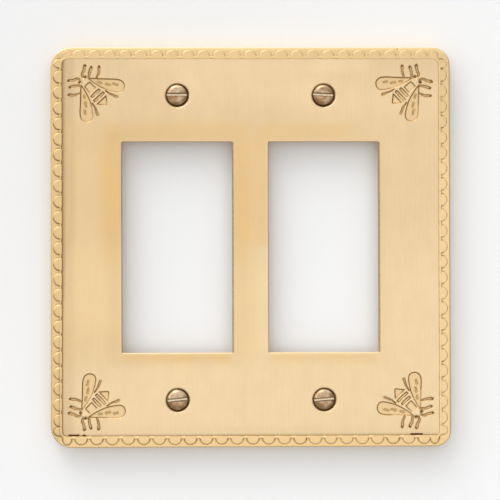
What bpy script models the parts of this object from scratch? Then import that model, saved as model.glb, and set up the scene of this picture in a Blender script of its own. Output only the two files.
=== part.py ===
"""Two-gang decorator wall plate cover in brass, with a scalloped border and four oval-head screws.

Frame: metres, +X right, +Z up. The front faces -Y and the wall is the plane y = 0.
The origin is the middle of the four-screw pattern, on the wall plane.
"""

import math

import bmesh
import bpy
from mathutils import Matrix, Vector

MM = 0.001
INCH = 25.4 * MM

# Driving dimensions
PLATE_SIZE = 5.0 * INCH          # outer width and height
GANG_PITCH = 46.04 * MM          # centre to centre of the two devices
SCREW_SPAN = 3.8125 * INCH       # upper screw to lower screw
OPENING_WIDTH = 35.2 * MM
OPENING_HEIGHT = 67.0 * MM
PLATE_DEPTH = 6.4 * MM           # wall to the top of the edging
FIT_GAP = 0.3 * MM               # clearance between neighbouring pieces

# Border
RAIL_WIDTH = 3.6 * MM
EDGING_HEIGHT = 0.3 * MM         # scallops and bead above the rail's own face
RAIL_DEPTH = PLATE_DEPTH - EDGING_HEIGHT
OUTER_ROUNDING = 0.5 * MM        # rounded front edge of the rail
BEAD_WIDTH = 0.75 * MM
BEAD_INSET = 0.1 * MM            # from the rail's inner wall to the bead
SCALLOP_RADIUS = 2.0 * MM
SCALLOP_PITCH = 4.955 * MM
SCALLOPS_PER_RAIL = 23
CORNER_SCALLOP_HALF_WIDTH = 1.5 * MM
CORNER_SCALLOP_PLACE = 58.4 * MM
SCALLOP_STEPS = 6

# Corner radii, clockwise from the upper left as seen from the front
CORNERS = ("top_left", "top_right", "bottom_right", "bottom_left")
OUTER_RADIUS = (6.7 * MM, 5.4 * MM, 5.0 * MM, 6.7 * MM)
INNER_RADIUS = (1.8 * MM, 1.9 * MM, 1.2 * MM, 1.6 * MM)
OUTER_ARC_STEPS = 5
INNER_ARC_STEPS = 3

# Face panel
PANEL_RECESS = 0.1 * MM          # from the rail's own face back to the panel's face
PANEL_THICKNESS = INCH / 16.0
PANEL_FRONT = -(RAIL_DEPTH - PANEL_RECESS)
PANEL_CORNER_STEPS = 5

# Screws, number 6 with an 82 degree oval head
HALF_CONE_ANGLE = math.radians(41.0)
HOLE_MOUTH_RADIUS = 3.7 * MM
HEAD_RADIUS = 3.3 * MM
CROWN_HEIGHT = 0.85 * MM
SHANK_RADIUS = 1.7 * MM
SCREW_LENGTH = 0.5 * INCH        # from the panel's face to the tip
TIP_CHAMFER = 0.4 * MM
SLOT_WIDTH = 0.9 * MM
SLOT_DEPTH = 1.2 * MM
ROUND_STEPS = 28

# Slot angles as left by the screwdriver, in degrees, anticlockwise from level
SLOT_ANGLES = {"top_left": 0.0, "top_right": -3.0, "bottom_left": 6.0, "bottom_right": 5.0}

SATIN_BRASS = (0.80, 0.60, 0.34)
CAST_BRASS = (0.84, 0.65, 0.36)
ANTIQUE_BRASS = (0.42, 0.29, 0.20)


def clear_scene():
    """Remove every object that the file opened with."""
    for item in list(bpy.data.objects):
        bpy.data.objects.remove(item, do_unlink=True)


def make_material(name, colour, roughness):
    """Return a metallic Principled material."""
    material = bpy.data.materials.new(name)
    material.use_nodes = True
    shader = material.node_tree.nodes["Principled BSDF"]
    shader.inputs["Base Color"].default_value = (*colour, 1.0)
    shader.inputs["Metallic"].default_value = 1.0
    shader.inputs["Roughness"].default_value = roughness
    material.diffuse_color = (*colour, 1.0)
    return material


def object_from_bmesh(name, shape, material=None):
    """Write a bmesh into a new object, with its faces pointing out."""
    bmesh.ops.recalc_face_normals(shape, faces=shape.faces)
    mesh = bpy.data.meshes.new(name)
    shape.to_mesh(mesh)
    shape.free()
    made = bpy.data.objects.new(name, mesh)
    bpy.context.collection.objects.link(made)
    if material:
        mesh.materials.append(material)
    return made


def stack_rings(name, rings, material=None):
    """Join rings of equal point counts into one closed solid with flat ends."""
    shape = bmesh.new()
    rows = [[shape.verts.new(point) for point in ring] for ring in rings]
    for lower, upper in zip(rows, rows[1:]):
        for index in range(len(lower)):
            following = (index + 1) % len(lower)
            shape.faces.new((lower[index], lower[following], upper[following], upper[index]))
    shape.faces.new(rows[0])
    shape.faces.new(rows[-1])
    return object_from_bmesh(name, shape, material)


def hide_tool(tool):
    """Mark a Boolean tool so that it isn't part of the model."""
    tool.hide_render = True
    tool.display_type = "WIRE"


def add_boolean(target, tool, operation):
    """Add an exact Boolean that uses a hidden tool."""
    hide_tool(tool)
    modifier = target.modifiers.new(f"{operation.lower()}_{tool.name}", "BOOLEAN")
    modifier.operation = operation
    modifier.solver = "EXACT"
    modifier.object = tool


def arc(centre_x, centre_z, radius, start, end, steps):
    """Points along an arc in the plan of the plate, from one angle to another in degrees."""
    points = []
    for index in range(steps + 1):
        angle = math.radians(start + (end - start) * index / steps)
        points.append((centre_x + radius * math.cos(angle), centre_z + radius * math.sin(angle)))
    return points


def mitred_arc(half_size, radius, steps, inset=0.0):
    """Corner arc at the left end of an upper rail, from the mitre face to the straight run.

    half_size is from the plate's centre to the straight run, and radius is the corner's radius there.
    A positive inset moves the arc inward, round the same centre.
    """
    centre = half_size - radius
    inset_radius = radius - inset
    mitre = 45.0 + math.degrees(math.acos(FIT_GAP / 2.0 / inset_radius))
    return arc(-centre, centre, inset_radius, mitre, 90.0, steps)


def mirrored(points):
    """Reflect plan points from left to right, and turn their order round."""
    return [(-x, z) for x, z in reversed(points)]


def rail_plan(left, right, outer_inset):
    """Plan outline of an upper rail between the corners with indexes left and right."""
    half_outer = PLATE_SIZE / 2.0
    half_inner = half_outer - RAIL_WIDTH
    outline = mitred_arc(half_outer, OUTER_RADIUS[left], OUTER_ARC_STEPS, outer_inset)
    outline += mirrored(mitred_arc(half_outer, OUTER_RADIUS[right], OUTER_ARC_STEPS, outer_inset))
    inner = mitred_arc(half_inner, INNER_RADIUS[left], INNER_ARC_STEPS)
    inner += mirrored(mitred_arc(half_inner, INNER_RADIUS[right], INNER_ARC_STEPS))
    return outline + inner[::-1]


def scallop(centre, half_width, base):
    """Half-moon that bulges outward from the bead's outer edge, from left to right."""
    points = arc(0.0, 0.0, 1.0, 180.0, 0.0, SCALLOP_STEPS)
    return [(centre + half_width * x, base + SCALLOP_RADIUS * z) for x, z in points]


def bead_corner(half_size, corner, inset_from_wall):
    """Corner arc of the bead at the left end of an upper rail, concentric with the rail's inner corner."""
    return mitred_arc(half_size, INNER_RADIUS[corner] + inset_from_wall, INNER_ARC_STEPS)


def edging_plan(left, right):
    """Plan outline of an upper rail's bead and scallops, joined into one comb.

    The narrow corner scallops rise straight from the mitre faces.
    """
    bead_start = PLATE_SIZE / 2.0 - RAIL_WIDTH + BEAD_INSET
    bead_end = bead_start + BEAD_WIDTH
    outer_inset = BEAD_INSET + BEAD_WIDTH
    corner_scallop = scallop(-CORNER_SCALLOP_PLACE, CORNER_SCALLOP_HALF_WIDTH, bead_end)[1:]
    outline = bead_corner(bead_end, left, outer_inset)[:1] + corner_scallop
    for index in range(SCALLOPS_PER_RAIL):
        place = (index - (SCALLOPS_PER_RAIL - 1) / 2.0) * SCALLOP_PITCH
        outline += scallop(place, SCALLOP_RADIUS, bead_end)
    outline += mirrored(bead_corner(bead_end, right, outer_inset)[:1] + corner_scallop)
    inner = bead_corner(bead_start, left, BEAD_INSET)
    inner += mirrored(bead_corner(bead_start, right, BEAD_INSET))
    return outline + inner[::-1]


def at_depth(plan, y):
    """Place a plan outline at a depth."""
    return [(x, y, z) for x, z in plan]


def make_rail(name, left, right, material):
    """Mitred bar with a rounded front edge, and the raised edging joined to its face."""
    quarter = OUTER_ROUNDING * (1.0 - math.cos(math.radians(45.0)))
    levels = (
        (0.0, 0.0),
        (-(RAIL_DEPTH - OUTER_ROUNDING), 0.0),
        (-(RAIL_DEPTH - quarter), quarter),
        (-RAIL_DEPTH, OUTER_ROUNDING),
    )
    rings = [at_depth(rail_plan(left, right, inset), y) for y, inset in levels]
    rail = stack_rings(name, rings, material)
    comb = edging_plan(left, right)
    edging = stack_rings(f"{name}_edging", [at_depth(comb, -RAIL_DEPTH + EDGING_HEIGHT), at_depth(comb, -PLATE_DEPTH)])
    edging.parent = rail
    add_boolean(rail, edging, "UNION")
    return rail


def make_border(material):
    """Four rails, each one an upper rail turned about the Y axis."""
    sides = ("top", "right", "bottom", "left")
    for index, side in enumerate(sides):
        rail = make_rail(f"border_rail_{side}", index, (index + 1) % 4, material)
        rail.rotation_euler = (0.0, math.radians(90.0) * index, 0.0)


def panel_outline(y):
    """Rounded square that the border rails leave, less the fitting gap."""
    half = PLATE_SIZE / 2.0 - RAIL_WIDTH - FIT_GAP
    points = []
    for index in range(4):
        radius = max(INNER_RADIUS[index] - FIT_GAP, FIT_GAP)
        centre = half - radius
        turn = Matrix.Rotation(math.radians(90.0) * index, 3, "Y")
        corner = arc(-centre, centre, radius, 180.0, 90.0, PANEL_CORNER_STEPS)
        points += [turn @ Vector((x, y, z)) for x, z in corner]
    return points


def box_tool(name, width, depth, height):
    """Box centred on its own origin, for cutting."""
    shape = bmesh.new()
    bmesh.ops.create_cube(shape, size=1.0, matrix=Matrix.Diagonal((width, depth, height, 1.0)))
    return object_from_bmesh(name, shape)


def turned_solid(name, profile, material=None):
    """Solid of revolution about the Y axis from (radius, y) points that start and end on the axis."""
    shape = bmesh.new()
    chain = [shape.verts.new((radius, y, 0.0)) for radius, y in profile]
    edges = [shape.edges.new(pair) for pair in zip(chain, chain[1:])]
    bmesh.ops.spin(
        shape,
        geom=chain + edges,
        cent=(0.0, 0.0, 0.0),
        axis=(0.0, 1.0, 0.0),
        angle=2.0 * math.pi,
        steps=ROUND_STEPS,
    )
    bmesh.ops.remove_doubles(shape, verts=shape.verts, dist=0.001 * MM)
    return object_from_bmesh(name, shape, material)


def screw_places():
    """Name and centre of each screw, on the wall plane."""
    for name in CORNERS:
        vertical, horizontal = name.split("_")
        x = GANG_PITCH / 2.0 if horizontal == "right" else -GANG_PITCH / 2.0
        z = SCREW_SPAN / 2.0 if vertical == "top" else -SCREW_SPAN / 2.0
        yield name, Vector((x, 0.0, z))


def make_panel(material):
    """Sheet with two device openings and four countersunk holes."""
    back = PANEL_FRONT + PANEL_THICKNESS
    panel = stack_rings("face_panel", [panel_outline(back), panel_outline(PANEL_FRONT)], material)
    for side, x in (("left", -GANG_PITCH / 2.0), ("right", GANG_PITCH / 2.0)):
        opening = box_tool(f"opening_{side}", OPENING_WIDTH, 4.0 * PANEL_THICKNESS, OPENING_HEIGHT)
        opening.location = (x, (PANEL_FRONT + back) / 2.0, 0.0)
        add_boolean(panel, opening, "DIFFERENCE")
    slope = math.tan(HALF_CONE_ANGLE)
    overrun = 0.5 * MM
    front_y = PANEL_FRONT - overrun
    back_y = back + overrun
    front_radius = HOLE_MOUTH_RADIUS + overrun * slope
    back_radius = HOLE_MOUTH_RADIUS - (PANEL_THICKNESS + overrun) * slope
    profile = [(0.0, front_y), (front_radius, front_y), (back_radius, back_y), (0.0, back_y)]
    for name, place in screw_places():
        hole = turned_solid(f"countersink_{name}", profile)
        hole.location = place
        add_boolean(panel, hole, "DIFFERENCE")


def screw_profile():
    """Outline of the screw from the top of its crown to its tip, as (radius, y) points."""
    seat = PANEL_FRONT
    crown_radius = (HEAD_RADIUS ** 2 + CROWN_HEIGHT ** 2) / (2.0 * CROWN_HEIGHT)
    crown_centre = seat - CROWN_HEIGHT + crown_radius
    edge_angle = math.degrees(math.asin(HEAD_RADIUS / crown_radius))
    crown = arc(crown_centre, 0.0, crown_radius, 180.0, 180.0 - edge_angle, 5)
    profile = [(abs(radius), y) for y, radius in crown]
    profile[0] = (0.0, profile[0][1])
    cone_height = (HEAD_RADIUS - SHANK_RADIUS) / math.tan(HALF_CONE_ANGLE)
    tip = seat + SCREW_LENGTH
    profile.append((SHANK_RADIUS, seat + cone_height))
    profile.append((SHANK_RADIUS, tip - TIP_CHAMFER))
    profile.append((SHANK_RADIUS - TIP_CHAMFER, tip))
    profile.append((0.0, tip))
    return profile


def make_screws(material):
    """Four screws, each with its origin on its own axis at the wall plane."""
    crown_top = PANEL_FRONT - CROWN_HEIGHT
    for name, place in screw_places():
        screw = turned_solid(f"screw_{name}", screw_profile(), material)
        slot = box_tool(f"slot_{name}", 4.0 * HEAD_RADIUS, 2.0 * SLOT_DEPTH, SLOT_WIDTH)
        slot.location = (0.0, crown_top, 0.0)
        slot.parent = screw
        add_boolean(screw, slot, "DIFFERENCE")
        screw.location = place
        screw.rotation_euler = (0.0, -math.radians(SLOT_ANGLES[name]), 0.0)
        screw.data.shade_smooth()
        screw.data.set_sharp_from_angle(angle=math.radians(30.0))


def main():
    """Build the wall plate cover."""
    clear_scene()
    make_panel(make_material("satin_brass", SATIN_BRASS, 0.38))
    make_border(make_material("cast_brass", CAST_BRASS, 0.34))
    make_screws(make_material("antique_brass", ANTIQUE_BRASS, 0.45))


main()
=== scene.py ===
"""Looks for the brass wall plate cover.

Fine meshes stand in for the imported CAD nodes: the face panel, the four border rails and the four screws.
Plan coordinates are millimetres seen from the front, as (x, z): x to the right and z up.
Depth is y in millimetres. The front faces -Y and the wall is at y = 0.
"""

import math

import bpy
import numpy as np
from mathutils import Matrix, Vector, geometry


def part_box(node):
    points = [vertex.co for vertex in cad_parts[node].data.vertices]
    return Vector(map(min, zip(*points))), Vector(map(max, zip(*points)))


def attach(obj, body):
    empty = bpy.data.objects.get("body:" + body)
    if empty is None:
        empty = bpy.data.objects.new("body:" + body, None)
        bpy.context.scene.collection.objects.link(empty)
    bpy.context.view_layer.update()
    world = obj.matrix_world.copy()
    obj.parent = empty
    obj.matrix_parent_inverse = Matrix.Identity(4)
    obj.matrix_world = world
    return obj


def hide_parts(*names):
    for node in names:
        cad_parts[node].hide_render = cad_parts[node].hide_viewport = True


MM = 0.001

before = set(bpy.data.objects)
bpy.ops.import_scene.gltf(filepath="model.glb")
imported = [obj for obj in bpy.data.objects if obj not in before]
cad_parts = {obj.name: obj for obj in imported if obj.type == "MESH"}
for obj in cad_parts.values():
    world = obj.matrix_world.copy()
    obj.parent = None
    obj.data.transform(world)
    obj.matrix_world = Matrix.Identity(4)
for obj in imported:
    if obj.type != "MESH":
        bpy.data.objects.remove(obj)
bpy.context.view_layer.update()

# ------------ sizes, in millimetres

FIT_GAP = 0.3                      # the clearance that the CAD solids keep from each other
rail_low, rail_high = (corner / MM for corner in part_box("border_rail_top"))
panel_low, panel_high = (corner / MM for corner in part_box("face_panel"))
screw_low, screw_high = (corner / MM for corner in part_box("screw_top_right"))

HALF_PLATE = rail_high.z
HALF_INNER = panel_high.x + FIT_GAP
PANEL_FACE = panel_low.y
PANEL_BACK = panel_high.y
RELIEF = 0.3                       # how far the scallops and bead may stand over the rail's plain face
RAIL_FACE = rail_low.y + RELIEF
RAIL_BACK = rail_high.y
SCREW_X = (screw_low.x + screw_high.x) / 2.0
SCREW_Z = (screw_low.z + screw_high.z) / 2.0
HEAD_RADIUS = (screw_high.x - screw_low.x) / 2.0
CROWN_TOP = screw_low.y
SCREW_TIP = screw_high.y

# Corners run clockwise from the upper left, and rail number i runs from corner i to the next one
CORNERS = ("top_left", "top_right", "bottom_right", "bottom_left")
CORNER_SIGNS = ((-1, 1), (1, 1), (1, -1), (-1, -1))
SIDES = ("top", "right", "bottom", "left")
OUTER_RADIUS = (6.7, 5.4, 5.0, 6.7)
INNER_RADIUS = (1.8, 1.9, 1.2, 1.6)

GANG_PLACES = (-SCREW_X - 0.4, SCREW_X + 0.15)    # both stand a little wide of their nominal places
OPENING_HALF_WIDTH = 17.5
OPENING_HALF_HEIGHT = 33.5
OPENING_CORNER = 0.35
OPENING_ROUNDING = 0.3
LEFT_OF_OPENINGS, RIGHT_OF_OPENINGS = -41.0, 40.0

OUTER_ROUNDING = 0.35
SIDE_ROUNDING = 0.08
MITRE_GAP = 0.01
BEAD_WIDTH = 0.8
SCALLOP_BASE = 0.9                 # from the rail's inner edge to the scallops' straight side
SCALLOP_RADIUS = 1.97
SCALLOP_SQUASH = 0.92              # how deep a half moon is, against its half width
SCALLOP_WALL = 0.28                # how wide a scallop's sloping side is in plan
SCALLOP_PITCH = 4.955
SCALLOPS_PER_RAIL = 23
CORNER_SCALLOP_PLACE = 58.35
CORNER_SCALLOP_HALF_WIDTH = 1.45
TOP_NICK_PLACE = 47.2

# Each side's edging. First the heights of its bead and scallops, and how far the row of scallops is off
# the middle. Then, from 0 to 1: its dullness and its deeper gold, which are partly painted shade that
# differs from side to side with how the light falls; its tarnish at the scallops' feet, laid on more
# thickly away from the upper left as painted shade; its tarnish where two scallops meet; and painted
# shade on the side that faces the panel.
EDGING = {
    "top": dict(
        bead=0.1, scallop=0.07, shift=-0.15, dullness_and_shade=0.7, gilt=0.0, foot=0.15, meeting=0.4, inner=0.3,
    ),
    "right": dict(
        bead=0.13, scallop=0.08, shift=-0.15, dullness_and_shade=0.25, gilt=0.05, foot=0.1, meeting=0.75, inner=0.6,
    ),
    "bottom": dict(
        bead=0.14, scallop=0.18, shift=-0.55, dullness_and_shade=0.1, gilt=0.35, foot=0.6, meeting=0.9, inner=1.0,
    ),
    "left": dict(
        bead=0.26, scallop=0.28, shift=-0.3, dullness_and_shade=1.0, gilt=0.45, foot=0.9, meeting=0.9, inner=1.0,
    ),
}

PANEL_GAPS = {"left": 0.13, "bottom": 0.14, "right": 0.1, "top": 0.0}
# The slits are grooves painted fully dark, as painted shade for see-through gaps
SLITS = ((-58.0, -54.4), (-53.6, -52.3), (50.6, 54.6))     # dark grooves along the panel's lower edge
SLIT_WIDTH = 0.5
SLIT_DEPTH = 0.9
SLIT_STEP = 0.2
# How dark the engraving has gone inside the outlines of its fields, and over how wide a strip.
# Then the same inside the edges of its lines.
FIELD_TARNISH, FIELD_FOOT_WIDTH = 1.0, 0.16
LINE_TARNISH, LINE_FOOT_WIDTH = 0.85, 0.14
PUNCH_DEPTH = 0.38                 # cuts deeper than this are dark all over
BACK_PAINTED_SHADE = 0.7                 # the back is painted dark, as painted shade for the hollow behind the panel

HOLE_MOUTH = 3.63
HOLE_ROUNDING = 0.42
HOLE_SHIFT = (0.12, -0.12)         # the screws sit a touch to the upper left in their holes
CONE_SLOPE = math.tan(math.radians(41.0))
SHANK_RADIUS = 1.7
THREAD_PITCH = 0.794
THREAD_DEPTH = 0.4
SLOT_WIDTH = 0.95
SLOT_DEPTH = 0.75
HEAD_FLATNESS = 5.0                # 2 is a round dome, and more is flatter with a steeper rim
SLOT_ANGLES = {"top_left": 0.0, "top_right": -3.0, "bottom_left": 6.0, "bottom_right": 5.0}


# ------------ plan geometry

def smoothstep(value, low, high):
    """0 below low, 1 above high, and a smooth rise between."""
    t = np.clip((value - low) / (high - low), 0.0, 1.0)
    return t * t * (3.0 - 2.0 * t)


def hump(value, centre, width):
    """A smooth bump of height 1 at the centre."""
    return np.exp(-(((value - centre) / width) ** 2))


def arc(centre, radius, start, end, count):
    """An arc in equal parts, with both ends. Angles are in degrees."""
    angles = np.radians(np.linspace(start, end, count + 1))
    return np.array(centre) + radius * np.column_stack([np.cos(angles), np.sin(angles)])


def joined(pieces, counts):
    """One closed loop through the pieces in turn. The line after each piece has so many equal parts."""
    points = []
    for piece, following, count in zip(pieces, pieces[1:] + pieces[:1], counts):
        start, end = piece[-1], following[0]
        share = np.arange(1, count)[:, None] / count
        points += [piece, start + (end - start) * share]
    return np.vstack(points)


def rounded_rectangle(low, high, radii, step):
    """Anticlockwise loop. The radii run clockwise from the upper left corner, as CORNERS do."""
    (x0, z0), (x1, z1) = low, high
    top_left, top_right, bottom_right, bottom_left = radii
    across, up = round((x1 - x0) / step), round((z1 - z0) / step)
    return joined([
        arc((x0 + bottom_left, z0 + bottom_left), bottom_left, 180, 270, 8),
        arc((x1 - bottom_right, z0 + bottom_right), bottom_right, 270, 360, 8),
        arc((x1 - top_right, z1 - top_right), top_right, 0, 90, 8),
        arc((x0 + top_left, z1 - top_left), top_left, 90, 180, 8),
    ], (across, up, across, up))


def quarter_turned(plan, turns):
    """Plan points turned clockwise about the plate's centre by quarter turns."""
    for turn in range(turns):
        plan = plan[:, ::-1] * (1, -1)
    return plan


def outward(loop):
    """Unit normals of a closed loop, to the right of its direction."""
    tangent = np.roll(loop, -1, axis=0) - np.roll(loop, 1, axis=0)
    tangent /= np.maximum(np.linalg.norm(tangent, axis=1), 1e-9)[:, None]
    return np.column_stack([tangent[:, 1], -tangent[:, 0]])


def smooth_curve(points, step, closed=False):
    """Catmull-Rom curve through the points, read off at even spacing."""
    points = np.array(points, float)
    if closed:
        padded = np.vstack([points[-1], points, points[0], points[1]])
    else:
        padded = np.vstack([2 * points[0] - points[1], points, 2 * points[-1] - points[-2]])
    t = np.linspace(0.0, 1.0, 12, endpoint=False)[:, None]
    dense = []
    for a, b, c, d in zip(padded, padded[1:], padded[2:], padded[3:]):
        squared = 2 * a - 5 * b + 4 * c - d
        cubed = 3 * b - 3 * c + d - a
        dense.append(b + 0.5 * ((c - a) * t + squared * t**2 + cubed * t**3))
    dense = np.vstack([*dense, padded[-2]])
    along = np.concatenate([[0.0], np.cumsum(np.linalg.norm(np.diff(dense, axis=0), axis=1))])
    at = np.linspace(0.0, along[-1], max(3, round(along[-1] / step)) + 1)
    return np.column_stack([np.interp(at, along, dense[:, k]) for k in range(2)])


def rows_along(curve, offsets):
    """The curve shifted sideways by each offset, as one list of points."""
    tangent = np.gradient(curve, axis=0)
    tangent /= np.maximum(np.linalg.norm(tangent, axis=1), 1e-9)[:, None]
    normal = np.column_stack([-tangent[:, 1], tangent[:, 0]])
    return np.vstack([curve + normal * offset for offset in offsets])


def distance_to(points, curve, reach=2.0):
    """Distance from each point to a polyline, at most the reach, and the nearest place along it.

    The place goes from 0 at the polyline's start to 1 at its end.
    """
    nearest = np.full(len(points), float(reach))
    place = np.zeros(len(points))
    near = np.where(((points > curve.min(0) - reach) & (points < curve.max(0) + reach)).all(1))[0]
    starts = curve[:-1]
    steps = np.diff(curve, axis=0)
    squared = np.maximum((steps**2).sum(1), 1e-12)
    for chunk in np.array_split(near, len(near) // 4000 + 1):
        gap = points[chunk][:, None, :] - starts[None, :, :]
        share = np.clip((gap * steps[None]).sum(2) / squared, 0.0, 1.0)
        away = np.linalg.norm(gap - share[:, :, None] * steps[None], axis=2)
        best = away.argmin(1)
        row = np.arange(len(chunk))
        nearest[chunk] = np.minimum(away[row, best], reach)
        place[chunk] = (best + share[row, best]) / len(starts)
    return nearest, place


def inside(points, loop):
    """Whether each point lies inside a closed loop."""
    found = np.zeros(len(points), bool)
    x, z = points[:, 0], points[:, 1]
    for (ax, az), (bx, bz) in zip(loop, np.roll(loop, -1, axis=0)):
        if az != bz:
            found ^= ((az > z) != (bz > z)) & (x < ax + (z - az) * (bx - ax) / (bz - az))
    return found


def thin_out(points, spacing):
    """Keeps points, first come first kept, so that none lies closer to another than the spacing."""
    kept, cells = [], {}
    for index, (x, z) in enumerate(points.tolist()):
        column, row = math.floor(x / spacing), math.floor(z / spacing)
        close = any(
            (ox - x) ** 2 + (oz - z) ** 2 < spacing * spacing
            for i in (column - 1, column, column + 1)
            for j in (row - 1, row, row + 1)
            for ox, oz in cells.get((i, j), ())
        )
        if not close:
            cells.setdefault((column, row), []).append((x, z))
            kept.append(index)
    return points[kept]


def staggered_grid(low, high, spacing):
    """Evenly spaced points in staggered rows over a rectangle."""
    rows = []
    for number, z in enumerate(np.arange(low[1], high[1], spacing * 0.866)):
        x = np.arange(low[0] + (number % 2) * spacing / 2.0, high[0], spacing)
        rows.append(np.column_stack([x, np.full(len(x), z)]))
    return np.vstack(rows)


def triangulate(loops, inner_points):
    """Delaunay triangles over the area inside the first loop and outside the others."""
    points = np.vstack([*loops, inner_points])
    edges, start = [], 0
    for loop in loops:
        edges += [(start + i, start + (i + 1) % len(loop)) for i in range(len(loop))]
        start += len(loop)
    found = geometry.delaunay_2d_cdt([Vector(p) for p in points], edges, [], 0, 1e-7)
    first_input = [ids[0] for ids in found[3]]
    faces = np.array([[first_input[v] for v in face] for face in found[2]])
    on_boundary = np.where((faces < start).all(1))[0]
    middle = points[faces[on_boundary]].mean(1)
    wanted = inside(middle, loops[0])
    for loop in loops[1:]:
        wanted &= ~inside(middle, loop)
    keep = np.ones(len(faces), bool)
    keep[on_boundary] = wanted
    return points, faces[keep]


# ------------ solids with a relief on their front

def relief_solid(name, loops, inner_points, surface, walls, paint, turns=0, place=(0.0, 0.0)):
    """Closed mesh: a relief in front, walls down from each loop, and a back across the last rings.

    The first loop is the outline, anticlockwise, and the others are holes, clockwise.
    surface(plan) is the front's depth at plan points.
    walls(number, loop, edge_depth) lists the rings below one loop, as (plan, depth).
    paint(plan, depth) names the values painted on every vertex.
    The finished mesh is turned clockwise by quarter turns and moved to its place.
    """
    plan, front = triangulate(loops, inner_points)
    depth = surface(plan)
    plans, depths, faces = [plan], [depth], [front]
    last_rings, last_numbers = [], []
    total, start = len(plan), 0
    for number, loop in enumerate(loops):
        above = np.arange(start, start + len(loop))
        start += len(loop)
        for ring, ring_depth in walls(number, loop, depth[above]):
            below = np.arange(total, total + len(loop))
            total += len(loop)
            plans.append(ring)
            depths.append(np.broadcast_to(ring_depth, len(loop)))
            faces.append(np.column_stack([above, below, np.roll(below, -1)]))
            faces.append(np.column_stack([above, np.roll(below, -1), np.roll(above, -1)]))
            above = below
        last_rings.append(ring)
        last_numbers.append(above)
    back = triangulate(last_rings, np.zeros((0, 2)))[1]
    faces.append(np.concatenate(last_numbers)[back][:, ::-1])
    plan, depth = np.vstack(plans), np.concatenate(depths)
    painted_values = paint(plan, depth)
    plan = quarter_turned(plan, turns) + place
    verts = np.column_stack([plan[:, 0], depth, plan[:, 1]]) * MM
    return make_mesh(name, verts, np.vstack(faces), painted_values)


def rolled_edge(loop, edge_depth, reach, steps=4):
    """Rings that roll over an edge from facing front to facing sideways, by each point's own reach."""
    radius = np.linalg.norm(reach, axis=1)
    rings = []
    for turn in np.linspace(0.0, math.pi / 2.0, steps + 1)[1:]:
        rings.append((loop + reach * math.sin(turn), edge_depth + radius * (1.0 - math.cos(turn))))
    return rings


def make_mesh(name, verts, faces, painted):
    """Object from arrays, smooth but for its sharp edges, with named values on its vertices."""
    mesh = bpy.data.meshes.new(name)
    mesh.from_pydata(verts.tolist(), [], faces.tolist())
    for key, values in painted.items():
        mesh.attributes.new(key, "FLOAT", "POINT").data.foreach_set("value", values.astype(np.float32))
    mesh.shade_smooth()
    mesh.set_sharp_from_angle(angle=math.radians(50.0))
    made = bpy.data.objects.new(name, mesh)
    bpy.context.scene.collection.objects.link(made)
    return made


def adopt(piece, node, body, material):
    """The piece stands for a CAD node, rides on its body, and gets its material."""
    piece.data.materials.append(material)
    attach(piece, body)
    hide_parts(node)


# ------------ materials

def add_node(tree, kind, inputs=(), **settings):
    """New node with its settings, and its inputs set or linked."""
    made = tree.nodes.new(kind)
    for key, value in settings.items():
        setattr(made, key, value)
    for key, value in dict(inputs).items():
        if isinstance(value, bpy.types.NodeSocket):
            tree.links.new(value, made.inputs[key])
        else:
            made.inputs[key].default_value = value
    return made


def noise(tree, scales, detail=3.0, roughness=0.5, offset=0.0):
    """Noise of the object's own coordinates, with so many features per millimetre along x, y and z."""
    place = add_node(tree, "ShaderNodeTexCoord").outputs["Object"]
    scale = [s / MM for s in scales]
    stretched = add_node(
        tree, "ShaderNodeMapping", {"Vector": place, "Location": (offset, offset, offset), "Scale": scale}
    )
    made = add_node(
        tree, "ShaderNodeTexNoise",
        {"Vector": stretched.outputs[0], "Scale": 1.0, "Detail": detail, "Roughness": roughness},
    )
    return made.outputs["Fac"]


def ramp(tree, value, low, high, start=0.0, end=1.0):
    """Value taken from low..high to start..end, and held there beyond."""
    return add_node(
        tree, "ShaderNodeMapRange",
        {"Value": value, "From Min": low, "From Max": high, "To Min": start, "To Max": end},
    ).outputs[0]


def maths(tree, operation, first, second):
    return add_node(tree, "ShaderNodeMath", {0: first, 1: second}, operation=operation).outputs[0]


def mixed(tree, factor, first, second, blend="MIX"):
    """Colour between two, by a factor."""
    sockets = {0: factor, 6: first, 7: second}
    return add_node(tree, "ShaderNodeMix", sockets, data_type="RGBA", blend_type=blend).outputs[2]


def painted(tree, name):
    return add_node(tree, "ShaderNodeAttribute", attribute_name=name).outputs["Fac"]


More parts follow.
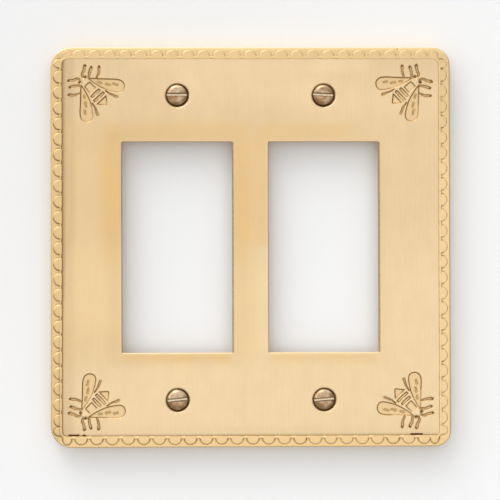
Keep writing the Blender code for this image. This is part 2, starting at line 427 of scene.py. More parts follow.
def brass(name, base, deep, blush, tarnish_and_shade_colour, roughness, brushing, mottling, bump, patchiness=0.25):
    """Brass with a grain and slow changes of tone.

    Where so painted it is darker and pinker, a deeper gold, or dark brown: partly aged brass, and partly
    painted shade and painted highlights laid on through the same paints.
    """
    material = bpy.data.materials.new(name)
    material.use_nodes = True
    tree = material.node_tree
    shader = tree.nodes["Principled BSDF"]

    grain = noise(tree, brushing, 4.0, 0.6)
    fine_grain = noise(tree, [5.0 * s for s in brushing], 2.0, 0.5, 7.0)
    slow = noise(tree, (0.02, 0.02, 0.02), 2.0, 0.5, 3.0)
    mottle = noise(tree, mottling, 5.0, 0.6, 11.0)
    speckle = noise(tree, (1.6, 1.6, 1.6), 3.0, 0.6, 5.0)

    blush_and_shade_share = maths(tree, "MULTIPLY", painted(tree, "blush"), ramp(tree, slow, 0.35, 0.65, 0.88, 1.1))
    tone = mixed(tree, blush_and_shade_share, (*base, 1.0), (*blush, 1.0))
    patches = ramp(tree, mottle, 0.3, 0.65, 1.0 - patchiness, 1.0 + patchiness)
    gilt = maths(tree, "MULTIPLY", painted(tree, "gilt"), patches)
    tone = mixed(tree, gilt, tone, (*deep, 1.0))
    streaks = ramp(tree, grain, 0.3, 0.7, 0.965, 1.02)
    shade = maths(tree, "ADD", streaks, ramp(tree, mottle, 0.3, 0.7, -0.03, 0.02))
    shade = add_node(tree, "ShaderNodeCombineColor", {0: shade, 1: shade, 2: shade}).outputs[0]
    tone = mixed(tree, 1.0, tone, shade, "MULTIPLY")
    tarnish = maths(tree, "MULTIPLY", painted(tree, "tarnish"), ramp(tree, speckle, 0.25, 0.6, 0.6, 1.0))
    tone = mixed(tree, tarnish, tone, (*tarnish_and_shade_colour, 1.0))
    tree.links.new(tone, shader.inputs["Base Color"])

    shader.inputs["Metallic"].default_value = 1.0
    shader.inputs["Specular Tint"].default_value = (1.0, 0.86, 0.62, 1.0)
    rough = maths(tree, "ADD", ramp(tree, grain, 0.3, 0.7, roughness - 0.04, roughness + 0.05),
                  maths(tree, "MULTIPLY", tarnish, 0.25))
    tree.links.new(rough, shader.inputs["Roughness"])

    height = maths(tree, "ADD", grain, maths(tree, "MULTIPLY", fine_grain, 0.5))
    bumped = add_node(tree, "ShaderNodeBump", {"Height": height, "Strength": bump, "Distance": 0.02 * MM})
    tree.links.new(bumped.outputs[0], shader.inputs["Normal"])
    return material


def matte(name):
    """Plain matte paint for the stage, and its shader, whose colour is still to be set."""
    material = bpy.data.materials.new(name)
    material.use_nodes = True
    shader = material.node_tree.nodes["Principled BSDF"]
    shader.inputs["Roughness"].default_value = 0.9
    shader.inputs["Specular IOR Level"].default_value = 0.1
    return material, shader


# Brushing and mottling are features per millimetre along x, y and z
PANEL_BRASS = brass(
    "brushed_panel_brass",
    base=(0.85, 0.655, 0.395), deep=(0.73, 0.49, 0.215), blush=(0.65, 0.475, 0.275),
    tarnish_and_shade_colour=(0.21, 0.09, 0.008), roughness=0.42,
    brushing=(3.0, 3.0, 0.05), mottling=(0.2, 0.2, 0.12), bump=0.35,
)
BORDER_BRASS = brass(
    "cast_border_brass",
    base=(0.86, 0.62, 0.325), deep=(0.72, 0.50, 0.225), blush=(0.71, 0.51, 0.265),
    tarnish_and_shade_colour=(0.21, 0.10, 0.018), roughness=0.4,
    brushing=(1.2, 1.2, 1.2), mottling=(0.5, 0.5, 0.5), bump=0.6,
)
SCREW_BRASS = brass(
    "aged_screw_brass",
    base=(0.80, 0.65, 0.45), deep=(0.35, 0.205, 0.10), blush=(0.72, 0.50, 0.33),
    tarnish_and_shade_colour=(0.095, 0.035, 0.007), roughness=0.33,
    brushing=(0.9, 0.9, 0.9), mottling=(0.55, 0.55, 0.55), bump=0.6, patchiness=0.6,
)


# ------------ engraved bees

BEE_TURN = -2.0                    # degrees off the corner's diagonal, about the bee's head
BEE_HEAD = 9.4                     # from the border's inner corner to the bee's head

# A point is how far it lies from the corner along the diagonal, and how far to one side.
# Lines taper from the first half width to the second, and stand on both sides of the bee.
BEE_LINES = (
    (0.26, 0.36, 0.30, ((8.7, 0.6), (7.9, 1.1), (7.5, 2.2), (6.6, 3.5))),        # feeler
    (0.26, 0.36, 0.30, ((10.4, 1.7), (9.3, 2.9), (8.4, 4.6))),                   # fore leg
    (0.22, 0.36, 0.28, ((12.0, 3.5), (11.2, 5.2), (10.0, 6.5))),                 # middle leg
    (0.14, 0.32, 0.28, ((16.9, 2.9), (18.7, 3.3), (20.7, 4.2))),                 # hind wing
    (0.30, 0.24, 0.28, ((13.2, 3.0), (14.0, 3.6))),                              # marks in a wing
    (0.30, 0.24, 0.28, ((15.2, 4.4), (16.3, 5.1))),
    (0.30, 0.24, 0.28, ((16.8, 6.2), (18.0, 6.9))),
)
# Sunk fields, as (depth, whether on both sides, outline)
BEE_FIELDS = (
    # Fore wings, two bands of the body, the tail and the thorax
    (0.34, True, ((10.5, 1.7), (12.6, 4.0), (14.6, 6.0), (16.5, 7.9), (18.0, 8.8), (19.5, 8.6),
                  (20.5, 7.4), (20.4, 6.0), (19.0, 4.7), (16.3, 3.1), (13.2, 2.05))),
    (0.34, False, ((14.9, 1.5), (15.3, 1.75), (15.7, 1.5),
                   (15.7, -1.5), (15.3, -1.75), (14.9, -1.5))),
    (0.34, False, ((16.5, 1.8), (16.9, 2.05), (17.3, 1.8),
                   (17.3, -1.8), (16.9, -2.05), (16.5, -1.8))),
    (0.34, False, ((18.1, 1.75), (18.35, 1.85), (20.2, 0.3), (20.35, 0.0),
                   (20.2, -0.3), (18.35, -1.85), (18.1, -1.75))),
    (0.22, False, ((11.3, 0.9), (11.5, 1.1), (13.95, 1.25), (14.15, 1.05),
                   (14.15, -1.05), (13.95, -1.25), (11.5, -1.1), (11.3, -0.9))),
)
# Round punch marks, as (radius, depth, point): the eyes, then the ends of the feelers and legs
BEE_PUNCHES = (
    (0.36, 0.45, (9.3, 1.2)),
    (0.27, 0.42, (6.5, 3.6)),
    (0.27, 0.42, (8.35, 4.7)),
    (0.27, 0.42, (9.9, 6.6)),
)
BEE_FACE = ((9.5, 0.0), 0.75, 0.10)     # the raised face: place, radius and height


def bee_to_plate(corner, points):
    """Bee coordinates to plan coordinates, for the bee in one corner."""
    turn = math.radians(BEE_TURN)
    along, across = (np.array(points, float) - (BEE_HEAD, 0.0)).T
    turned_along = BEE_HEAD + along * math.cos(turn) - across * math.sin(turn)
    turned_across = along * math.sin(turn) + across * math.cos(turn)
    sign_x, sign_z = CORNER_SIGNS[corner]
    inward = np.array([-sign_x, -sign_z]) / math.sqrt(2.0)
    sideways = np.array([-inward[1], inward[0]])
    start = np.array([sign_x, sign_z]) * HALF_INNER
    return start + turned_along[:, None] * inward + turned_across[:, None] * sideways


def bee_lines():
    """All the bees' lines and punches on the plate, as (first and second half width, depth, curve)."""
    lines = []
    for corner in range(4):
        for side in (1, -1):
            for first, second, depth, points in BEE_LINES:
                curve = smooth_curve(points, 0.16) * (1, side)
                lines.append((first, second, depth, bee_to_plate(corner, curve)))
            for radius, depth, (along, across) in BEE_PUNCHES:
                dot = [(along - 0.05, across * side), (along + 0.05, across * side)]
                lines.append((radius, radius, depth, bee_to_plate(corner, dot)))
    return lines


def bee_fields():
    """All the bees' sunk fields on the plate, as (depth, outline)."""
    return [
        (depth, bee_to_plate(corner, smooth_curve(points, 0.16, closed=True) * (1, side)))
        for corner in range(4)
        for depth, both, points in BEE_FIELDS
        for side in ((1, -1) if both else (1,))
    ]


# ------------ face panel

def opening_loops(outset, step):
    """The two switch openings' outlines, clockwise, grown by the outset."""
    half = np.array([OPENING_HALF_WIDTH + outset, OPENING_HALF_HEIGHT + outset])
    corner = [OPENING_CORNER + outset] * 4
    centres = [np.array([place, 0.0]) for place in GANG_PLACES]
    return [rounded_rectangle(centre - half, centre + half, corner, step)[::-1] for centre in centres]


def panel_outline(step):
    """The panel's edge, with a slightly uneven gap to the border."""
    low = (-HALF_INNER + PANEL_GAPS["left"], -HALF_INNER + PANEL_GAPS["bottom"])
    high = (HALF_INNER - PANEL_GAPS["right"], HALF_INNER - PANEL_GAPS["top"])
    return rounded_rectangle(low, high, [r - 0.1 for r in INNER_RADIUS], step)


def slit_share(plan):
    """1 in the narrow slits sunk along the panel's lower edge, and 0 elsewhere."""
    x, z = plan.T
    across = 1.0 - smoothstep(z + HALF_INNER, SLIT_WIDTH - 0.1, SLIT_WIDTH + 0.1)
    share = np.zeros(len(plan))
    for start, end in SLITS:
        along = smoothstep(x, start, start + 0.5) * (1.0 - smoothstep(x, end - 0.5, end))
        share = np.maximum(share, along * across)
    return share


def closed(loop):
    """The loop as a polyline that ends where it starts."""
    return np.vstack([loop, loop[:1]])


def clear_of(points, loops, margin):
    """The points inside the first loop and outside the others, and not within the margin of any."""
    keep = inside(points, loops[0])
    for loop in loops[1:]:
        keep &= ~inside(points, loop)
    for loop in loops:
        keep &= distance_to(points, closed(loop), 2.0 * margin)[0] > margin
    return points[keep]


def lit_from_above(plan, place):
    """1 where the rim of a round feature faces the upper left, and 0 all round its lower right."""
    offset = plan - place
    facing = offset @ (-0.55, 0.83) / np.maximum(np.linalg.norm(offset, axis=1), 0.01)
    return smoothstep(facing, 0.3, 0.95)


def engraving(plan, lines, fields):
    """How far the bees are cut in at each plan point, and how dark the cuts are painted: patina, with
    painted shade on the fields' sides away from the upper left.
    """
    cut = np.zeros(len(plan))
    tarnish = np.zeros(len(plan))
    for depth, outline in fields:
        away = distance_to(plan, outline, 1.0)[0]
        within = np.where(inside(plan, outline), away, -away)
        cut = np.maximum(cut, depth * smoothstep(within, -0.08, 0.1))
        # Painted shade: the patina round each field is laid on more thickly on the side away from the
        # upper left
        shaded = 1.0 - 0.6 * lit_from_above(outline.mean(axis=0), plan)
        tarnish = np.maximum(tarnish, FIELD_TARNISH * shaded * hump(within, 0.08, FIELD_FOOT_WIDTH))
    for first, second, depth, curve in lines:
        away, place = distance_to(plan, curve, 1.0)
        within = first + (second - first) * place - away
        cut = np.maximum(cut, depth * smoothstep(within, -0.08, 0.12))
        tarnish = np.maximum(tarnish, LINE_TARNISH * hump(within, 0.06, LINE_FOOT_WIDTH))
        if depth > PUNCH_DEPTH:
            tarnish = np.maximum(tarnish, smoothstep(within, -0.05, 0.08))
    raised = np.zeros(len(plan))
    (along, across), radius, height = BEE_FACE
    for corner in range(4):
        away = np.linalg.norm(plan - bee_to_plate(corner, [(along, across)]), axis=1)
        raised = np.maximum(raised, height * (1.0 - smoothstep(away, 0.2 * radius, 1.2 * radius)))
    return cut - raised, tarnish


def beyond_opening(plan, gang_place):
    """Distance from each plan point to one switch opening."""
    past = np.abs(plan - (gang_place, 0.0)) - (OPENING_HALF_WIDTH, OPENING_HALF_HEIGHT)
    return np.linalg.norm(np.maximum(past, 0.0), axis=1)


def screw_place(corner):
    """Plan place of one corner's screw."""
    sign_x, sign_z = CORNER_SIGNS[corner]
    return (GANG_PLACES[(sign_x + 1) // 2], sign_z * SCREW_Z)


def panel_gilt(plan):
    """How golden the panel has gone: most of all beside the left opening and under both."""
    x, z = plan.T
    left_gang, right_gang = (beyond_opening(plan, place) for place in GANG_PLACES)
    nearest = np.minimum(left_gang, right_gang)
    past_middle = np.minimum(np.abs(x - GANG_PLACES[0]), np.abs(x - GANG_PLACES[1]))
    upper = smoothstep(z, -12.0, 12.0)

    near = (1.0 - smoothstep(left_gang, 4.0, 9.0)) * (1.0 - 0.5 * smoothstep(z, 20.0, 36.0))
    near *= 0.5 + 0.2 * (x < LEFT_OF_OPENINGS)
    left_half = 0.27 * smoothstep(z, -42.0, -30.0) + upper * (near - 0.04)
    left_half *= (1.0 - smoothstep(x, -0.5, 4.0)) * (1.0 - smoothstep(z, 38.0, 44.0))
    over_right = 0.45 * (1.0 - smoothstep(right_gang, 4.0, 8.0)) * (z > 0.0)
    over_right *= 1.0 - smoothstep(x, 25.0, 40.0)
    beside_right = 0.25 * (1.0 - smoothstep(right_gang, 1.0, 3.0)) * (x > RIGHT_OF_OPENINGS)
    under = (0.8 - 0.25 * (x > 0.0)) * (1.0 - smoothstep(nearest, 0.8, 5.0))
    under *= smoothstep(-z, 33.0, 34.0) * (1.0 - smoothstep(past_middle, 16.0, 18.5))
    gilt = np.maximum(np.maximum(left_half, over_right), np.maximum(under, beside_right))
    return gilt * smoothstep(nearest, 0.3, 1.2)


def panel_painted_shade(plan):
    """Painted shade on the panel, laid on as a darker tone: more in its upper half, and most of all along
    its left edge.
    """
    x, z = plan.T
    left_gang = beyond_opening(plan, GANG_PLACES[0])
    upper = smoothstep(z, -12.0, 12.0)
    dullness_and_shade = 0.33 + upper * (0.36 + 0.14 * smoothstep(x, -38.0, -5.0) - 0.08 * smoothstep(x, 5.0, 30.0))
    # Painted shade over the left opening, along the left and lower edges, round that opening, and beside
    # it
    dullness_and_shade += 0.15 * smoothstep(-x, 15.0, 30.0) * hump(z, 37.0, 5.0)
    dullness_and_shade += (0.65 + 0.25 * upper) * smoothstep(-x, 54.5, 58.0) + 0.2 * smoothstep(-z, 55.5, 58.5)
    dullness_and_shade += (0.2 + 0.15 * (x < LEFT_OF_OPENINGS)) * (1.0 - smoothstep(left_gang, 3.0, 6.0)) * (x < 0.0)
    dullness_and_shade += 0.25 * upper * hump(x, -43.5, 4.0) * (1.0 - smoothstep(z, 34.0, 38.0))
    dullness_and_shade += 0.25 * smoothstep(-x, 30.0, 40.0) * smoothstep(-z, 20.0, 30.0) * smoothstep(z, -45.0, -35.0)
    # Painted light over the right opening, along the top edge, and between the upper bees
    along_top = smoothstep(z, 54.0, 58.0) * (1.0 - smoothstep(np.abs(x), 34.0, 42.0))
    dullness_and_shade -= 0.35 * smoothstep(x, -5.0, 30.0) * hump(z, 47.0, 7.0)
    dullness_and_shade -= (0.25 + 0.2 * smoothstep(x, 10.0, 30.0)) * along_top
    dullness_and_shade -= 0.35 * hump(z, 52.0, 7.0) * (1.0 - smoothstep(np.abs(x), 18.0, 32.0))
    return np.clip(0.75 * dullness_and_shade, 0.0, 1.0)


def edge_shadow_and_darkening(plan):
    """Painted shadow of the border beside the panel's left edge, strongest high up, and a darker strip
    along its lower edge.
    """
    x, z = plan.T
    past_left = x + HALF_INNER - PANEL_GAPS["left"]
    past_bottom = z + HALF_INNER - PANEL_GAPS["bottom"]
    reach = 0.45 + 0.3 * smoothstep(z, -25.0, -5.0)
    strength = 0.24 + 0.24 * smoothstep(z, -35.0, -12.0)
    return np.maximum(strength * hump(past_left, 0.0, reach), 0.35 * hump(past_bottom, 0.0, 0.5))


def panel_points(lines, fields, loops, openings):
    """The panel's mesh points: close along its edges and engraving, and wider apart elsewhere."""
    offsets = (0.0, 0.12, -0.12, 0.24, -0.24, 0.36, -0.36)
    rows = [rows_along(curve, offsets) for *_, curve in lines + fields]
    for start, end in SLITS:
        along = np.arange(start, end, SLIT_STEP)
        for height in (0.25, 0.38, 0.5, 0.62, 0.75):
            rows.append(np.column_stack([along, np.full(len(along), -HALF_INNER + height)]))
    bee_grid = staggered_grid((5.0, -10.0), (22.0, 10.0), 0.45)
    near_bees = np.vstack([bee_to_plate(corner, bee_grid) for corner in range(4)])
    near_openings = [rows_along(closed(loop), (0.6, 1.4)) for loop in openings]
    background = staggered_grid((-HALF_INNER, -HALF_INNER), (HALF_INNER, HALF_INNER), 1.3)
    points = thin_out(np.vstack([*rows, thin_out(near_bees, 0.3)]), 0.09)
    points = np.vstack([points, thin_out(np.vstack([*near_openings, background]), 0.5)])
    edges = [loop - outward(loop) * away for loop in loops for away in (0.07, 0.3)]
    edges += [loops[0] - outward(loops[0]) * away for away in (0.55, 0.8, 1.1, 1.5)]
    return clear_of(thin_out(np.vstack([*edges, points]), 0.09), loops, 0.05)


def make_panel():
    """Engraved sheet with two rounded-over openings and four countersunk holes."""
    lines, fields = bee_lines(), bee_fields()
    hole_places = [np.array(screw_place(corner)) + HOLE_SHIFT for corner in range(4)]
    holes = [arc(place, HOLE_MOUTH + HOLE_ROUNDING, 360, 0, 96)[:-1] for place in hole_places]
    openings = opening_loops(OPENING_ROUNDING, 1.0)
    loops = [panel_outline(0.3), *openings, *holes]
    points = panel_points(lines, fields, loops, openings)

    def surface(plan):
        return PANEL_FACE + engraving(plan, lines, fields)[0] + SLIT_DEPTH * slit_share(plan)

    def walls(number, loop, edge_depth):
        side = outward(loop)
        if number == 0:
            rings = rolled_edge(loop, edge_depth, side * SIDE_ROUNDING, 2)
        elif number <= len(openings):
            rings = rolled_edge(loop, edge_depth, side * OPENING_ROUNDING, 6)
        else:
            narrowing = (PANEL_BACK - PANEL_FACE) * CONE_SLOPE
            bevel = (loop + side * 0.75 * HOLE_ROUNDING, edge_depth + 0.5 * HOLE_ROUNDING)
            mouth = (loop + side * HOLE_ROUNDING, edge_depth + 0.75 * HOLE_ROUNDING)
            return [bevel, mouth, (loop + side * (HOLE_ROUNDING + narrowing), PANEL_BACK)]
        return [*rings, (rings[-1][0], PANEL_BACK - 0.15), (rings[-1][0], PANEL_BACK)]

    def paint(plan, depth):
        cut, engraved = engraving(plan, lines, fields)
        low = smoothstep(depth, PANEL_FACE + 0.1, PANEL_FACE + 0.5)
        # Painted shade on the panel's edge walls by the border, in the gap between panel and border
        gap_wall_shade = low * (np.abs(plan).max(1) > HALF_INNER - 0.8)
        on_back = depth > PANEL_BACK - 0.05
        # Patina in the engraving, and the slits painted dark as painted shade
        tarnish = np.maximum(engraved, slit_share(plan))
        tarnish = np.maximum(tarnish, np.maximum(0.9 * gap_wall_shade, edge_shadow_and_darkening(plan)))
        for place in GANG_PLACES:
            # The right edge of each opening is darker than the others
            past_edge = np.abs(plan[:, 0] - place - OPENING_HALF_WIDTH - 0.1)
            beside = 1.0 - smoothstep(past_edge, 0.25, 0.45)
            tarnish = np.maximum(tarnish, 0.6 * beside * (np.abs(plan[:, 1]) < OPENING_HALF_HEIGHT))
        # Painted shade in each hole's mouth, lighter towards its upper left, and a painted highlight on
        # the lip at its lower right
        painted_highlight = np.zeros(len(plan))
        for corner, hole_place in enumerate(hole_places):
            away = np.linalg.norm(plan - hole_place, axis=1)
            in_cone = 1.0 - smoothstep(away, HOLE_MOUTH, HOLE_MOUTH + 0.1)
            lip = hump(away, HOLE_MOUTH + HOLE_ROUNDING, 0.4)
            shaded = 0.85 - 0.7 * lit_from_above(plan, screw_place(corner))
            tarnish = np.maximum(tarnish, shaded * in_cone)
            painted_highlight = np.maximum(painted_highlight, lip * lit_from_above(screw_place(corner), plan))
        tarnish = np.maximum(tarnish, BACK_PAINTED_SHADE * on_back)
        cut_gilt = np.maximum(0.4 * smoothstep(cut, 0.15, 0.3), np.minimum(1.5 * engraved, 1.0))
        gilt = np.maximum(panel_gilt(plan), cut_gilt) * (1.0 - painted_highlight)
        return {"tarnish": tarnish, "gilt": gilt, "blush": panel_painted_shade(plan) * (1.0 - painted_highlight)}

    panel = relief_solid("engraved_panel", loops, points, surface, walls, paint)
    adopt(panel, "face_panel", "plate", PANEL_BRASS)


# ------------ border rails

def rail_outline(number, outer_inset, side_inset):
    """One rail's outline as the upper rail lies, anticlockwise, drawn in by two insets."""
    half_gap = MITRE_GAP / 2.0 + 0.1 * side_inset
    outer_arcs, inner_arcs = [], []
    for end, sign in (((number + 1) % 4, 1), (number, -1)):
        radius = OUTER_RADIUS[end] - outer_inset
        middle = HALF_PLATE - OUTER_RADIUS[end]
        skew = math.degrees(math.asin(half_gap / radius))
        outer_arcs.append(arc((middle, middle), radius, 45 + skew, 90, 14) * (sign, 1))
        radius = INNER_RADIUS[end] + side_inset
        middle = HALF_INNER - INNER_RADIUS[end]
        skew = math.degrees(math.asin(half_gap / radius))
        inner_arcs.append(arc((middle, middle), radius, 45 + skew, 90, 8) * (sign, 1))
    pieces = [outer_arcs[0], outer_arcs[1][::-1], inner_arcs[1], inner_arcs[0][::-1]]
    return joined(pieces, (400, 12, 400, 12))


def line_beside_panel(number, away, step):
    """A line from left to right, so far outside the rail's inner edge, as the upper rail lies."""
    ends = []
    for end, sign in ((number, -1), ((number + 1) % 4, 1)):
        middle = HALF_INNER - INNER_RADIUS[end]
        ends.append(arc((middle, middle), INNER_RADIUS[end] + away, 46, 90, 10) * (sign, 1))
    left, right = ends[0], ends[1][::-1]
    count = round((right[0, 0] - left[-1, 0]) / step)
    share = np.arange(1, count)[:, None] / count
    return np.vstack([left, left[-1] + (right[0] - left[-1]) * share, right])


def rail_points(number, edge, centres, radii):
    """One rail's mesh points, as the upper rail lies: closest along its edges, bead and scallops."""
    base = HALF_INNER + SCALLOP_BASE
    rows = []
    for centre, radius in zip(centres, radii):
        half_moon = (centre, base) + arc((0.0, 0.0), radius, 0, 180, 30) * (1.0, SCALLOP_SQUASH)
        rows.append(rows_along(half_moon, (0.0, -0.12, 0.08, 0.17, 0.26, 0.4)))
    for sign in (-1, 1):
        for share in (1.0, 0.92, 0.85, 0.78, 1.08):
            size = (CORNER_SCALLOP_HALF_WIDTH * share, SCALLOP_RADIUS * SCALLOP_SQUASH * share)
            rows.append((sign * CORNER_SCALLOP_PLACE, base) + arc((0.0, 0.0), 1.0, 0, 180, 20) * size)
    for away in (0.1, 0.18, 0.3, 0.5, 0.7, 0.8, 0.9, 1.0, 1.1, 1.2):
        rows.append(line_beside_panel(number, away, 0.22))
    grid = staggered_grid((-HALF_PLATE, HALF_INNER - 2.0), (HALF_PLATE, HALF_PLATE), 0.25)
    beside_edge = edge - outward(edge) * 0.06
    return clear_of(thin_out(np.vstack([beside_edge, *rows, grid]), 0.075), [edge], 0.04)


def make_rail(number):
    """Mitred bar with a plain rounded outer strip, raised half moons, and a bead by the panel."""
    side = SIDES[number]
    edging = EDGING[side]
    base = HALF_INNER + SCALLOP_BASE
    half_count = SCALLOPS_PER_RAIL // 2
    random = np.random.default_rng(30 + number)
    shifts = random.normal(0.0, 0.05, SCALLOPS_PER_RAIL)
    radii = SCALLOP_RADIUS * (1.0 + random.normal(0.0, 0.015, SCALLOPS_PER_RAIL))
    heights = edging["scallop"] * (1.0 - np.abs(random.normal(0.0, 0.12, SCALLOPS_PER_RAIL)))
    grime = random.uniform(0.4, 1.2, SCALLOPS_PER_RAIL)
    centres = (np.arange(SCALLOPS_PER_RAIL) - half_count) * SCALLOP_PITCH + shifts + edging["shift"]

    def measures(plan):
        """Distance from the inner edge, distance inside the nearest scallop, and its number."""
        x, z = np.abs(plan[:, 0]), plan[:, 1]
        end_radius = np.where(plan[:, 0] > 0, INNER_RADIUS[(number + 1) % 4], INNER_RADIUS[number])
        over = x - (HALF_INNER - end_radius)
        round_corner = np.hypot(over, z - HALF_INNER + end_radius) - end_radius
        from_inner = np.where(over > 0, round_corner, z - HALF_INNER)
        place = np.round((plan[:, 0] - edging["shift"]) / SCALLOP_PITCH) + half_count
        nearest = np.clip(place, 0, SCALLOPS_PER_RAIL - 1).astype(int)
        up = np.maximum(z - base, 0.0) / SCALLOP_SQUASH
        within = radii[nearest] - np.hypot(plan[:, 0] - centres[nearest], up)
        narrow = np.hypot((x - CORNER_SCALLOP_PLACE) / CORNER_SCALLOP_HALF_WIDTH, up / SCALLOP_RADIUS)
        within_corner = (1.0 - narrow) * CORNER_SCALLOP_HALF_WIDTH
        reach = SCALLOP_RADIUS + 0.1
        at_corner = (plan[:, 0] > centres[-1] + reach) | (plan[:, 0] < centres[0] - reach)
        return from_inner, np.where(at_corner, within_corner, within), nearest

    def surface(plan):
        from_inner, within, nearest = measures(plan)
        across_bead = (from_inner - SIDE_ROUNDING - BEAD_WIDTH / 2.0) / (BEAD_WIDTH / 2.0)
        bead = edging["bead"] * np.clip(1.0 - across_bead**2, 0.0, 1.0) ** 0.6
        pillow = heights[nearest] * smoothstep(within, 0.0, SCALLOP_WALL)
        pillow += 0.03 * smoothstep(within, 0.2, 1.2)
        foot = 0.06 * hump(within, -0.08, 0.1) * (plan[:, 1] > base)
        nick = 0.0
        if side == "top":
            near_edge = smoothstep(plan[:, 1], HALF_PLATE - 1.2, HALF_PLATE - 0.6)
            nick = 0.3 * hump(plan[:, 0], TOP_NICK_PLACE, 0.3) * near_edge
        return RAIL_FACE - np.maximum(bead, pillow) + foot + nick

    def walls(_, loop, edge_depth):
        reach = rail_outline(number, 0.0, 0.0) - loop
        rings = rolled_edge(loop, edge_depth, reach, 5)
        return [*rings, (rings[-1][0], RAIL_BACK)]

    def paint(plan, depth):
        from_inner, within, nearest = measures(plan)
        at_ends = 1.0 - smoothstep(plan[:, 1] - base, 0.3, 1.3)
        offset = plan - np.column_stack([centres[nearest], np.full(len(plan), base)])
        # Patina at the scallops' feet, laid on more thickly on their sides away from the upper left as
        # painted shade, and patina where two scallops meet
        lit = lit_from_above(quarter_turned(offset, number), (0.0, 0.0))
        dark = np.maximum(edging["foot"] * (1.0 - 0.85 * lit), edging["meeting"] * at_ends)
        foot = hump(within, -0.04, 0.12 + 0.08 * at_ends) * dark * grime[nearest]
        foot *= from_inner > SCALLOP_BASE - 0.1
        groove = 0.0
        if side == "left":
            groove = 0.7 * hump(from_inner, SCALLOP_BASE, 0.12) * smoothstep(-plan[:, 0], 20.0, 40.0)
        # Painted shade on the side that faces the panel, in the gap between rail and panel
        gap_side_shade = edging["inner"] * (from_inner < 0.05)
        gap_side_shade *= smoothstep(depth, RAIL_FACE, RAIL_FACE + 0.4)
        # Painted shade on the outer rounding, to damp its highlight
        outer_rounding_shade = 0.15 * edging["dullness_and_shade"] * (from_inner > 1.0)
        outer_rounding_shade *= smoothstep(depth, RAIL_FACE + 0.01, RAIL_FACE + 0.12)
        tarnish = np.maximum(np.maximum(foot, groove), np.maximum(gap_side_shade, outer_rounding_shade))
        # Dullness by side, partly painted shade for how each side meets the light; the right rail duller
        # towards one end, the top rail's outer strip less so
        dullness_and_shade = np.full(len(plan), edging["dullness_and_shade"])
        if side == "right":
            dullness_and_shade += 0.5 * smoothstep(-plan[:, 0], 20.0, 45.0)
        elif side == "top":
            dullness_and_shade -= 0.7 * smoothstep(from_inner, 2.5, 3.0)
        # Painted highlight along the scallops' rims that face the upper left
        outside_painted_highlight = 1.0 - lit * hump(within, 0.14, 0.18)
        return {"tarnish": tarnish, "gilt": edging["gilt"] * outside_painted_highlight, "blush": dullness_and_shade * outside_painted_highlight}

    edge = rail_outline(number, OUTER_ROUNDING, SIDE_ROUNDING)
    points = rail_points(number, edge, centres, radii)
    rail = relief_solid(f"scalloped_edging_{side}", [edge], points, surface, walls, paint, turns=number)
    adopt(rail, f"border_rail_{side}", "plate", BORDER_BRASS)


# ------------ screws

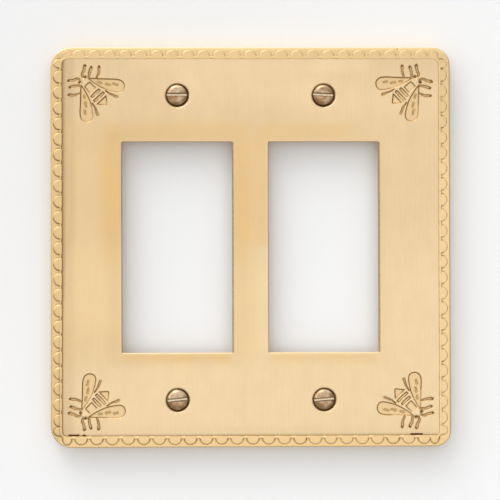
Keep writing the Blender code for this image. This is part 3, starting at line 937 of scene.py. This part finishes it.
def make_screw(number):
    """Oval-head screw with a straight slot, a countersunk cone and a machine thread."""
    corner = CORNERS[number]
    place = screw_place(number)
    crown = PANEL_FACE - CROWN_TOP
    floor = CROWN_TOP + SLOT_DEPTH
    half_slot = SLOT_WIDTH / 2.0
    angle = math.radians(SLOT_ANGLES[corner])
    along_slot = np.array([math.cos(angle), math.sin(angle)])
    across_slot = np.array([-math.sin(angle), math.cos(angle)])

    def surface(plan):
        away = np.minimum(np.linalg.norm(plan, axis=1), HEAD_RADIUS)
        dome = CROWN_TOP + crown * (away / HEAD_RADIUS) ** HEAD_FLATNESS
        dome = dome + 0.12 * smoothstep(away, HEAD_RADIUS - 0.35, HEAD_RADIUS)
        across = np.abs(plan @ across_slot)
        dome = dome + 0.07 * (1.0 - smoothstep(across, half_slot, half_slot + 0.22))
        share = 1.0 - smoothstep(across, half_slot - 0.04, half_slot + 0.04)
        return dome + np.maximum(floor - dome, 0.0) * share

    def walls(_, loop, edge_depth):
        direction = loop / HEAD_RADIUS
        turn = np.arctan2(loop[:, 1], loop[:, 0]) / (2.0 * math.pi)
        cone_radius, cone_start = HEAD_RADIUS - 0.25, PANEL_FACE + 0.45
        cone_end = cone_start + (cone_radius - SHANK_RADIUS) / CONE_SLOPE
        rings = [(direction * cone_radius, cone_start), (direction * SHANK_RADIUS, cone_end)]
        for depth in np.arange(cone_end + 0.2, SCREW_TIP - 0.05, THREAD_PITCH / 9.0):
            phase = (depth / THREAD_PITCH + turn) % 1.0
            groove = THREAD_DEPTH * (1.0 - np.abs(2.0 * phase - 1.0))
            groove = np.clip(groove * 1.25 - 0.06, 0.0, THREAD_DEPTH)
            fade = smoothstep(depth, cone_end + 0.2, cone_end + 0.9)
            taper = 0.6 * smoothstep(depth, SCREW_TIP - 0.9, SCREW_TIP)
            radius = SHANK_RADIUS - groove * fade - taper * (1.0 - 0.5 * groove / THREAD_DEPTH)
            rings.append((direction * radius[:, None], depth))
        return [*rings, (direction * (SHANK_RADIUS - 0.95), SCREW_TIP)]

    def paint(plan, depth):
        away = np.linalg.norm(plan, axis=1)
        across = np.abs(plan @ across_slot)
        on_head = depth < PANEL_FACE + 0.3
        slot_sides = hump(across, half_slot - 0.1, 0.19) * on_head
        # Painted shade round the head's rim, all but on its upper left
        rim = smoothstep(away, HEAD_RADIUS - 0.22, HEAD_RADIUS)
        rim *= 1.0 - 0.9 * lit_from_above(plan, (0.0, 0.0))
        under = 0.7 * (depth > PANEL_FACE + 0.3) * (away > SHANK_RADIUS + 0.1)
        tarnish = np.maximum(0.8 * np.maximum(slot_sides, rim), under)
        in_slot = 1.0 - smoothstep(across, half_slot - 0.15, half_slot)
        # The head's deeper gold grows towards its lower side as painted shade
        gilt = np.where(on_head, (0.72 - 0.06 * plan[:, 1]) * (1.0 - in_slot), 0.3)
        return {"tarnish": tarnish, "gilt": gilt, "blush": np.zeros(len(plan))}

    rim = arc((0.0, 0.0), HEAD_RADIUS, 0, 360, 120)[:-1]
    slot_line = np.linspace(-HEAD_RADIUS, HEAD_RADIUS, 50)[:, None] * along_slot
    offsets = half_slot + np.array([-0.1, -0.04, 0.0, 0.04, 0.12, 0.22])
    rows = [slot_line + across_slot * offset * side for side in (-1, 1) for offset in offsets]
    grid = staggered_grid((-HEAD_RADIUS, -HEAD_RADIUS), (HEAD_RADIUS, HEAD_RADIUS), 0.17)
    points = clear_of(thin_out(np.vstack([*rows, grid]), 0.035), [rim], 0.06)
    screw = relief_solid(f"slotted_screw_{corner}", [rim], points, surface, walls, paint, place=place)
    adopt(screw, f"screw_{corner}", f"screw_{corner}", SCREW_BRASS)


# ------------ stage, light and camera

WALL_GAP = 0.1                     # from the plate's back to the wall
CAMERA_TARGET = (-0.29, PANEL_FACE, -0.92)
CAMERA_OFFSET = (-13.0, -600.0, -6.3)     # from the target to the camera
CAMERA_ROLL = -0.14                # in degrees
PICTURE_WIDTH = 158.9              # how wide a strip of the panel's plane the picture shows


def add_plane(name, verts, material):
    """One flat face of the stage, seen from the side that its corners go round anticlockwise."""
    mesh = bpy.data.meshes.new(name)
    mesh.from_pydata(verts, [], [(0, 1, 2, 3)])
    mesh.materials.append(material)
    made = bpy.data.objects.new(name, mesh)
    bpy.context.scene.collection.objects.link(made)
    return made


def add_softbox(name, location, size, watts):
    """Square white area light aimed at the plate's centre."""
    light = bpy.data.lights.new(name, "AREA")
    light.shape = "SQUARE"
    light.size = size
    light.energy = watts
    made = bpy.data.objects.new(name, light)
    made.location = location
    made.rotation_euler = (-Vector(location)).to_track_quat("-Z", "Y").to_euler()
    bpy.context.scene.collection.objects.link(made)
    return made


def one_sided(material):
    """Makes the wall clear from behind, so that views from the back show the plate's back."""
    tree = material.node_tree
    shader = tree.nodes["Principled BSDF"]
    output = tree.nodes["Material Output"]
    behind = add_node(tree, "ShaderNodeNewGeometry").outputs["Backfacing"]
    clear = add_node(tree, "ShaderNodeBsdfTransparent").outputs[0]
    either = add_node(tree, "ShaderNodeMixShader", {0: behind, 1: shader.outputs[0], 2: clear})
    tree.links.new(either.outputs[0], output.inputs["Surface"])


def make_wall_and_floor():
    """Pale wall right behind the plate, a little greyer towards the upper left, and a grey floor."""
    wall_y = (RAIL_BACK + WALL_GAP) * MM
    reach, floor_z = 2.0, -0.4
    wall_paint, wall_shader = matte("pale_wall")
    one_sided(wall_paint)
    tree = wall_paint.node_tree
    place = add_node(tree, "ShaderNodeTexCoord").outputs["Object"]
    parts = add_node(tree, "ShaderNodeSeparateXYZ", {0: place})
    to_lower_right = maths(tree, "SUBTRACT", parts.outputs["X"], parts.outputs["Z"])
    shade = ramp(tree, to_lower_right, -0.1, 0.04, 0.855, 0.905)
    shade = add_node(tree, "ShaderNodeCombineColor", {0: shade, 1: shade, 2: shade}).outputs[0]
    tree.links.new(shade, wall_shader.inputs["Base Color"])
    wall = add_plane("wall", [
        (-reach, wall_y, floor_z), (reach, wall_y, floor_z),
        (reach, wall_y, reach), (-reach, wall_y, reach),
    ], wall_paint)
    wall.visible_shadow = False
    wall.visible_diffuse = False
    wall.visible_glossy = False
    wall.visible_transmission = False

    floor_paint, floor_shader = matte("grey_floor")
    floor_shader.inputs["Base Color"].default_value = (0.4, 0.4, 0.4, 1.0)
    add_plane("floor", [
        (-reach, -reach, floor_z), (reach, -reach, floor_z),
        (reach, reach, floor_z), (-reach, reach, floor_z),
    ], floor_paint)


def make_light():
    """Soft light from the upper left and the front, and a sky brighter above and on the left."""
    add_softbox("top_light", (-1.2, -1.5, 3.55), 2.2, 50.0)
    add_softbox("left_light", (-3.55, -2.2, 1.3), 2.4, 12.0)
    add_softbox("front_light", (0.15, -1.1, -0.25), 1.3, 5.4)

    world = bpy.data.worlds.new("studio")
    world.use_nodes = True
    tree = world.node_tree
    direction = add_node(tree, "ShaderNodeTexCoord").outputs["Generated"]
    parts = add_node(tree, "ShaderNodeSeparateXYZ", {0: direction})
    from_above = ramp(tree, parts.outputs["Z"], -0.1, 1.0, 0.0, 1.55)
    from_left = ramp(tree, parts.outputs["X"], 0.1, -1.0, 0.0, 0.7)
    strength = maths(tree, "ADD", from_above, from_left)
    tree.links.new(strength, tree.nodes["Background"].inputs["Strength"])
    tree.nodes["Background"].inputs["Color"].default_value = (1.0, 1.0, 1.0, 1.0)
    bpy.context.scene.world = world


def make_camera():
    """In front of the plate and a touch to the left and below, with an even margin round it."""
    target = Vector(CAMERA_TARGET) * MM
    eye = target + Vector(CAMERA_OFFSET) * MM
    data = bpy.data.cameras.new("camera")
    data.sensor_width = 36.0
    data.lens = data.sensor_width * (target - eye).length / (PICTURE_WIDTH * MM)
    camera = bpy.data.objects.new("camera", data)
    camera.location = eye
    camera.rotation_euler = (target - eye).to_track_quat("-Z", "Y").to_euler()
    camera.rotation_euler.rotate_axis("Z", math.radians(CAMERA_ROLL))
    bpy.context.scene.collection.objects.link(camera)
    bpy.context.scene.camera = camera
    bpy.context.scene.view_settings.view_transform = "Standard"


make_panel()
for rail_number in range(4):
    make_rail(rail_number)
for screw_number in range(4):
    make_screw(screw_number)
make_wall_and_floor()
make_light()
make_camera()

bpy.context.view_layer.update()
